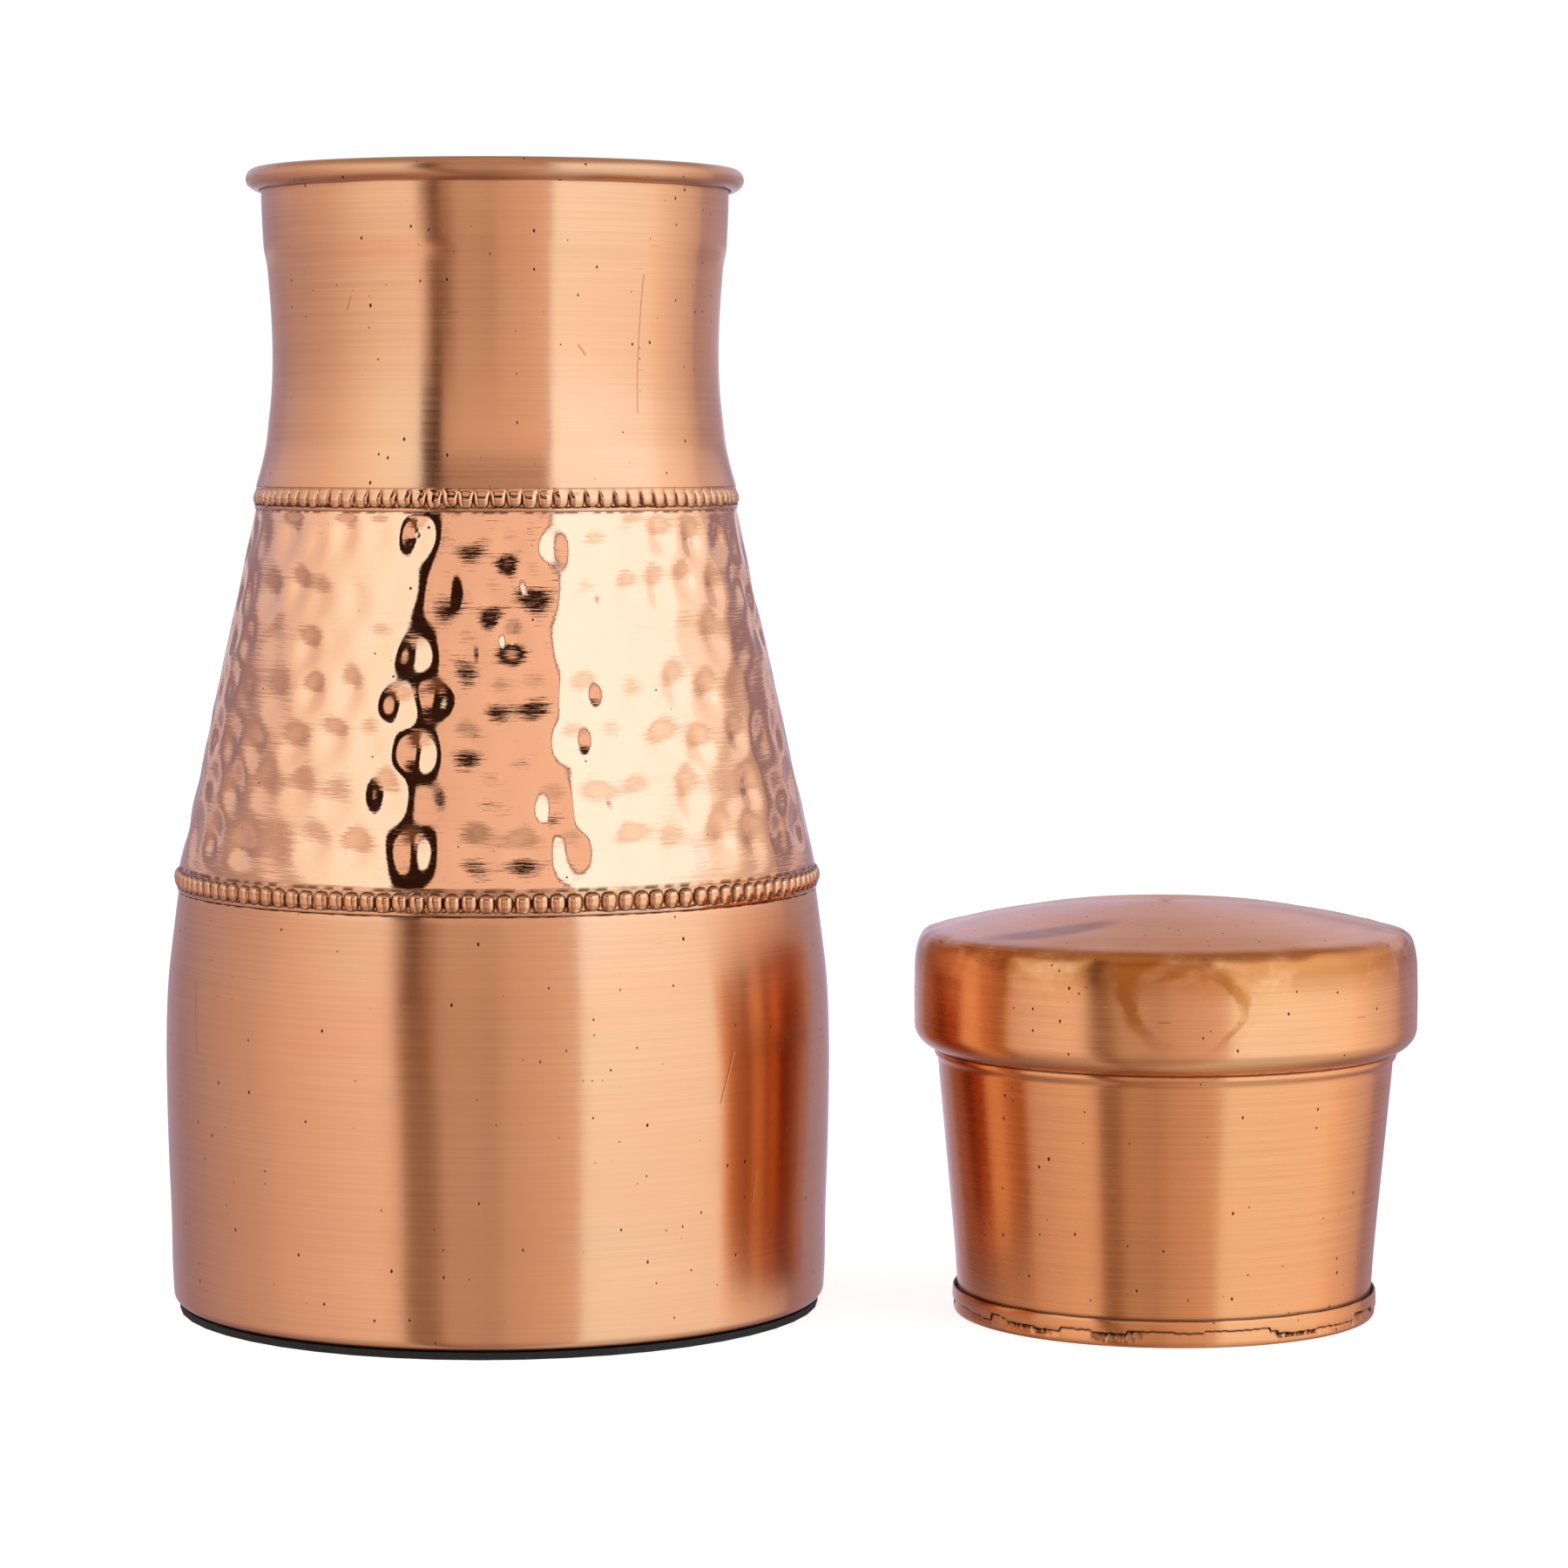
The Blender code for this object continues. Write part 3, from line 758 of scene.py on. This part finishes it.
def polished_copper(name, color, wear):
    """Mirror copper with fine pits and faint turning lines."""
    made, graph, shader = material(name)
    place = graph.place()
    cloud = graph.noise(place, 60.0, 3.0)
    lines = graph.noise(graph.stretched(place, TURNING_LINES), 1.0, 3.0, 0.6)
    base = graph.blend(cloud, toned(color, [0.97] * 3), (*color, 1.0))
    base = graph.blend(graph.fade(lines, 0.55, 0.75, 0.0, 0.12), base, toned(color, [0.8] * 3))
    pits, hairs = [spots(graph, place, stretch, cells, reach * wear)
                   for stretch, cells, reach in (POLISHED_PITS, POLISHED_HAIRS)]
    base = graph.blend(graph.larger(pits, graph.times(hairs, 0.6)), base, GRIME_AND_SHADE)
    add_grime_and_shade(graph, shader, base, graph.fade(lines, 0.3, 0.8, 0.03, 0.09))
    add_bump(graph, shader, graph.minus(graph.times(lines, 0.7), pits), strength=0.5)
    return made


def plain(name, dark, light, roughness, metallic):
    """A quiet finish with a slight grain, for the pieces that are mostly hidden."""
    made, graph, shader = material(name)
    grain = graph.noise(graph.place(), 900.0, 4.0, 0.65)
    graph.feed(shader.inputs["Base Color"], graph.blend(grain, (*dark, 1.0), (*light, 1.0)))
    graph.feed(shader.inputs["Roughness"], graph.fade(grain, 0.2, 0.8, roughness - 0.08, roughness + 0.08))
    shader.inputs["Metallic"].default_value = metallic
    add_bump(graph, shader, grain, strength=0.3, distance=0.00005)
    return made


# ---------------------------------------------------------------- studio

# Soft panels round the studio: the azimuth where each starts, from -Y towards +X, the width of its soft edge, and
# its colour at its start and at the next one's. One list is for the walls about level with the jug, one for above.
LOW_PANELS = [
    (-180.0, 1.0, (0.70, 0.68, 0.98), (0.44, 0.36, 0.46)),
    (-160.0, 1.0, (0.44, 0.36, 0.46), (0.40, 0.31, 0.40)),
    (-133.6, 3.0, (0.40, 0.31, 0.40), (0.80, 0.64, 0.62)),
    (-79.0, 10.0, (0.84, 0.67, 0.64), (1.17, 1.00, 0.97)),
    (-31.2, 2.0, (0.22, 0.11, 0.06), (0.22, 0.11, 0.06)),
    (-18.8, 2.0, (0.62, 0.49, 0.43), (0.60, 0.47, 0.42)),
    (-2.0, 3.0, (0.54, 0.42, 0.37), (0.57, 0.44, 0.39)),
    (4.0, 3.0, (0.70, 0.55, 0.50), (0.95, 0.78, 0.72)),
    (28.9, 0.6, (0.68, 0.50, 0.42), (0.68, 0.50, 0.42)),
    (30.2, 1.5, (1.24, 1.38, 1.48), (1.21, 1.22, 1.26)),
    (87.8, 4.0, (1.24, 1.14, 1.10), (0.66, 0.52, 0.52)),
    (124.0, 2.0, (0.42, 0.32, 0.42), (0.44, 0.36, 0.46)),
    (162.0, 1.0, (0.44, 0.36, 0.46), (0.70, 0.68, 0.98)),
]
HIGH_PANELS = [
    (-180.0, 1.0, (0.68, 0.65, 0.92), (0.60, 0.55, 0.70)),
    (-132.0, 2.0, (0.70, 0.62, 0.74), (1.05, 0.92, 0.90)),
    (-84.0, 2.0, (1.06, 0.96, 0.94), (1.24, 1.38, 1.42)),
    (-52.0, 1.0, (1.22, 1.36, 1.42), (1.20, 1.42, 1.60)),
    (-34.0, 0.5, (0.03, 0.012, 0.008), (0.03, 0.012, 0.008)),
    (-23.4, 0.5, (0.96, 0.76, 0.70), (1.10, 0.88, 0.82)),
    (28.9, 0.4, (0.05, 0.02, 0.015), (0.05, 0.02, 0.015)),
    (30.2, 0.8, (1.54, 1.74, 2.12), (1.46, 1.62, 1.96)),
    (89.5, 4.0, (1.36, 1.44, 1.60), (1.06, 0.98, 1.00)),
    (119.0, 1.5, (0.84, 0.74, 0.75), (0.68, 0.65, 0.92)),
]
CEILING = (0.56, 0.42, 0.37, 1.0)
FRONT_GLOW = (0.92, 0.74, 0.66, 1.0)
BACK_STRIP = (1.15, 1.0, 1.0, 1.0)
WALL_SHADE = (0.03, 0.012, 0.008, 1.0)
GAP_SHADE = (0.04, 0.018, 0.012, 1.0)
LOW_SHADE = (0.10, 0.06, 0.05, 1.0)
# The studio's ball is nearer on the side away from the lid
STUDIO_RADIUS = 1.1
STUDIO_CENTRE = (0.45, 0.15, 0.1)
# Azimuths in degrees between which the front's left and right edges fade, for the walls and for what is above them,
# and those away from the front on either side between which the back comes and the way ahead goes
FRONT_LOW = ((-38.0, -32.0), (23.0, 28.0))
FRONT_HIGH = ((-34.5, -33.5), (28.9, 29.9))
BACK_COMES = (90.0, 130.0)
AHEAD_GOES = (60.0, 80.0)
# Elevations in degrees between which parts of the light come, go, or come and then go
LOW_SHADE_GOES = (-45.0, -14.0)
WALL_SHADE_COMES = (3.5, 6.0)
BACK_STRIP_SPAN = ((0.5, 2.0), (3.8, 5.2))
HIGH_PANELS_COME = (10.5, 14.5)
GAP_SPAN = ((28.4, 29.4), (37.0, 43.0))
CEILING_COMES = (42.0, 52.0)
CEILING_GLOW_COMES = (42.0, 50.0)
FLOOR_REACH = 6.0
# The camera's lens in mm, its place, and how far its view falls before it meets the jug's axis
LENS = 110.4
CAMERA_PLACE = (0.0539, -0.904, 0.1632)
CAMERA_FALL = 0.065


def panels(graph, azimuth, listed):
    """The colour of a list of panels at an azimuth."""
    light = (*listed[0][2], 1.0)
    ends = [panel[0] for panel in listed[1:]] + [180.0]
    for (start, soft, first, last), end in zip(listed, ends):
        shade = graph.blend(graph.share(azimuth, start, end), (*first, 1.0), (*last, 1.0))
        light = graph.blend(graph.fade(azimuth, start - soft / 2.0, start + soft / 2.0), light, shade)
    return light


def wall_light(graph, azimuth, elevation, back):
    """The walls about level with the jug. Left of the middle, the panels' edges lean at the bottom and the top."""
    lean = graph.plus(graph.fade(elevation, -14.0, -5.0, 3.0, 0.0), graph.fade(elevation, 1.0, 6.0, 0.0, 3.0))
    lean = graph.times(lean, graph.fade(azimuth, -12.0, 0.0, 1.0, 0.0))
    light = panels(graph, graph.minus(azimuth, lean), LOW_PANELS)
    glow = graph.plus(graph.fade(elevation, -13.0, -5.0, 0.26, 0.06), graph.fade(elevation, -5.0, 3.0, 0.0, -0.06))
    light = graph.blend(graph.times(glow, graph.window(azimuth, *FRONT_LOW)), light, FRONT_GLOW)
    light = graph.blend(graph.fade(elevation, *WALL_SHADE_COMES, 0.0, 0.14), light, WALL_SHADE)
    strip = graph.window(elevation, *BACK_STRIP_SPAN, high=0.38)
    return graph.blend(graph.times(strip, back), light, BACK_STRIP)


def studio_light(graph, azimuth, elevation):
    """The walls, the higher panels, a dark gap above them in front, and the ceiling, which comes lower behind.

    Azimuth and elevation are in degrees, seen from the jug's axis at the height of the studio's middle."""
    back = graph.fade(graph.absolute(azimuth), *BACK_COMES)
    light = wall_light(graph, azimuth, elevation, back)
    ahead = graph.fade(graph.absolute(azimuth), *AHEAD_GOES, 2.0, 0.0)
    seen = graph.plus(graph.plus(elevation, ahead), graph.times(back, 2.0))
    light = graph.blend(graph.fade(seen, *HIGH_PANELS_COME), light, panels(graph, azimuth, HIGH_PANELS))
    front = graph.window(azimuth, *FRONT_HIGH)
    light = graph.blend(graph.times(front, graph.window(elevation, *GAP_SPAN)), light, GAP_SHADE)
    raised = graph.plus(elevation, graph.times(back, 14.0))
    light = graph.blend(graph.fade(raised, *CEILING_COMES), light, CEILING)
    glow = graph.times(front, graph.fade(elevation, *CEILING_GLOW_COMES, 0.0, 0.4))
    light = graph.blend(glow, light, FRONT_GLOW)
    return graph.blend(graph.fade(elevation, *LOW_SHADE_GOES, 0.45, 0.0), light, LOW_SHADE)


def make_studio():
    """A large ball of soft light round the object, measured from the jug's axis. The camera doesn't see it."""
    data = bpy.data.meshes.new("studio")
    mesh = bmesh.new()
    bmesh.ops.create_uvsphere(mesh, u_segments=128, v_segments=64, radius=STUDIO_RADIUS)
    mesh.to_mesh(data)
    mesh.free()
    studio = bpy.data.objects.new("studio", data)
    studio.location = STUDIO_CENTRE
    bpy.context.collection.objects.link(studio)
    studio.visible_camera = False

    made = bpy.data.materials.new("studio_light")
    made.use_nodes = True
    made.node_tree.nodes.clear()
    graph = Graph(made.node_tree)
    from_jug = graph.node("ShaderNodeVectorMath", {0: graph.place(), 1: (STUDIO_CENTRE[0], STUDIO_CENTRE[1], 0.0)},
                          operation="ADD").outputs[0]
    way = graph.node("ShaderNodeVectorMath", {0: from_jug}, operation="NORMALIZE").outputs[0]
    azimuth, rise = round_place(graph, way)
    elevation = graph.times(graph.math("ARCSINE", graph.times(rise, MM)), 180.0 / math.pi)
    glow = graph.node("ShaderNodeEmission", {"Color": studio_light(graph, azimuth, elevation), "Strength": 1.0})
    out = graph.node("ShaderNodeOutputMaterial", {})
    graph.feed(out.inputs[0], glow.outputs[0])
    data.materials.append(made)


def make_world():
    """Plain white, which is what the camera sees behind the object."""
    world = bpy.data.worlds.new("white")
    bpy.context.scene.world = world
    world.use_nodes = True
    world.node_tree.nodes["Background"].inputs["Color"].default_value = (1.0, 1.0, 1.0, 1.0)


def make_floor():
    """A plain pale floor, which the copper doesn't mirror."""
    data = bpy.data.meshes.new("floor")
    corners = [(-FLOOR_REACH, -FLOOR_REACH, 0.0), (FLOOR_REACH, -FLOOR_REACH, 0.0),
               (FLOOR_REACH, FLOOR_REACH, 0.0), (-FLOOR_REACH, FLOOR_REACH, 0.0)]
    data.from_pydata(corners, [], [(0, 1, 2, 3)])
    floor = bpy.data.objects.new("floor", data)
    floor.location.z = cad_low.z
    bpy.context.collection.objects.link(floor)
    made, graph, shader = material("floor_white")
    shader.inputs["Base Color"].default_value = (0.5, 0.5, 0.5, 1.0)
    shader.inputs["Specular IOR Level"].default_value = 0.0
    shader.inputs["Emission Color"].default_value = (1.0, 1.0, 1.0, 1.0)
    shader.inputs["Emission Strength"].default_value = 0.82
    data.materials.append(made)
    floor.visible_glossy = False


def make_camera():
    """The photograph's view: from straight ahead, a little above the middle and looking slightly down."""
    data = bpy.data.cameras.new("camera")
    data.lens = LENS
    data.sensor_width = 36.0
    camera = bpy.data.objects.new("camera", data)
    bpy.context.collection.objects.link(camera)
    camera.location = CAMERA_PLACE
    camera.rotation_euler = (math.radians(90.0) - math.atan2(CAMERA_FALL, -CAMERA_PLACE[1]), 0.0, 0.0)
    bpy.context.scene.camera = camera


satin_copper = copper("satin_copper", COPPER, roughness=0.23, anisotropy=0.9, wear=0.25, brushing=0.08,
                      scratches=JUG_SCRATCHES)
skirt_copper = copper("skirt_copper", SKIRT_COPPER, roughness=0.26, anisotropy=0.85, wear=0.95, brushing=0.14,
                      axis=LID_AXIS, stains_and_shade=skirt_stains_and_dent_shade)
lid_copper = copper("lid_copper", LID_COPPER, roughness=0.26, anisotropy=0.88, wear=0.6, brushing=0.14, axis=LID_AXIS)
hammered_copper = polished_copper("hammered_copper", HAMMERED_COPPER, wear=1.0)
bead_copper = polished_copper("bead_copper", BEAD_COPPER, wear=0.7)
inner_copper = plain("plain_copper", dark=(0.72, 0.38, 0.22), light=(0.84, 0.47, 0.27), roughness=0.3, metallic=1.0)
solder = plain("solder", dark=(0.42, 0.38, 0.34), light=(0.62, 0.58, 0.52), roughness=0.42, metallic=1.0)
steel = plain("wire_steel", dark=(0.45, 0.46, 0.47), light=(0.6, 0.61, 0.62), roughness=0.35, metallic=1.0)
rubber = plain("foot_rubber", dark=(0.004, 0.004, 0.004), light=(0.010, 0.010, 0.010), roughness=0.75, metallic=0.0)

make_base_shell(satin_copper)
make_hammered_shell(hammered_copper)
make_neck(satin_copper)
make_bead_band("lower_bead_band", LOWER_JOINT, LOWER_BEADS, LOWER_BEAD_POINTS, pillow_bead, CONE[0][0] - 0.1,
               bead_copper)
make_bead_band("upper_bead_band", UPPER_JOINT, UPPER_BEADS, UPPER_BEAD_POINTS, tongue_bead, NECK[0][0], bead_copper)
make_lid(skirt_copper, lid_copper, LID_AXIS)

for node, finish in {"base_plate": inner_copper, "cup_floor": inner_copper, "base_pad": rubber,
                     "base_solder": solder, "lower_seam_solder": solder, "upper_seam_solder": solder,
                     "floor_solder": solder, "skirt_solder": solder, "rim_wire": steel}.items():
    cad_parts[node].data.materials.clear()
    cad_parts[node].data.materials.append(finish)

make_floor()
make_studio()
make_world()
make_camera()
bpy.context.scene.view_settings.view_transform = "Standard"
